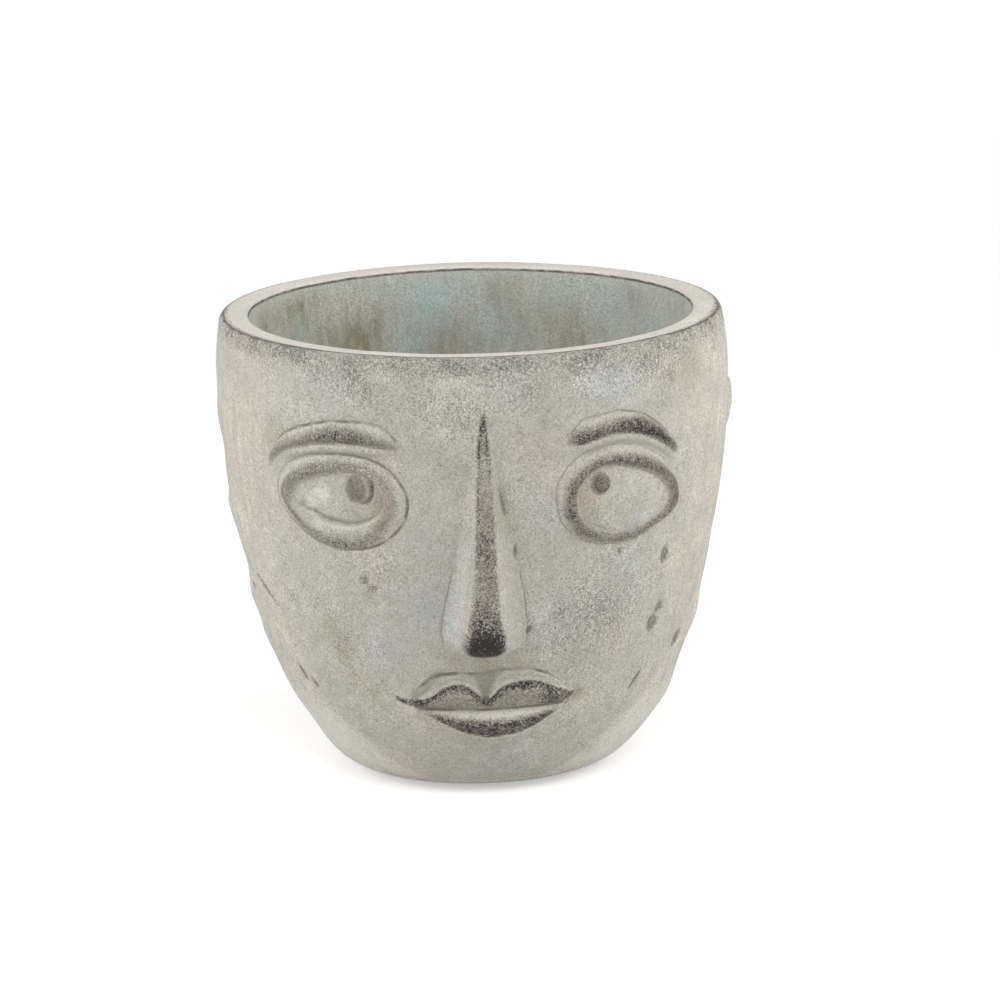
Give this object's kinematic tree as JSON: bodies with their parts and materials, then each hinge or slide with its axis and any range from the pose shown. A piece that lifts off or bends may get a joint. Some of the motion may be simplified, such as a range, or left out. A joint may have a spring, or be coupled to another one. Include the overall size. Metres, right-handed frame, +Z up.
{
  "type": "head planter",
  "caption": "Round cement planter with a face in relief on its wall, an open cavity for a plant, a rubber plug in its drain hole and stick-on pads under its foot.",
  "frame": {"origin": "on the pot's axis, on the surface that the pads stand on", "axes": "+Z up along the pot's axis; the face looks towards -Y; +X is to the viewer's right"},
  "size_m": [0.1724, 0.1706, 0.1535],
  "materials": {
    "cement": "matt cast cement with a grey-green wash, dark brown rubbed on the raised relief",
    "plug_rubber": "matt black rubber",
    "pad_rubber": "matt foam rubber"
  },
  "bodies": {
    "pot": {"pot_shell": "cement", "foot_pad_front_right": "pad_rubber", "foot_pad_back_right": "pad_rubber", "foot_pad_back_left": "pad_rubber", "foot_pad_front_left": "pad_rubber"},
    "plug": {"drain_plug": "plug_rubber"}
  },
  "joints": [
    {"name": "plug_lift", "type": "slide", "parent": "pot", "child": "plug", "axis": [0, 0, 1], "range_m": [0, 0.16]}
  ]
}
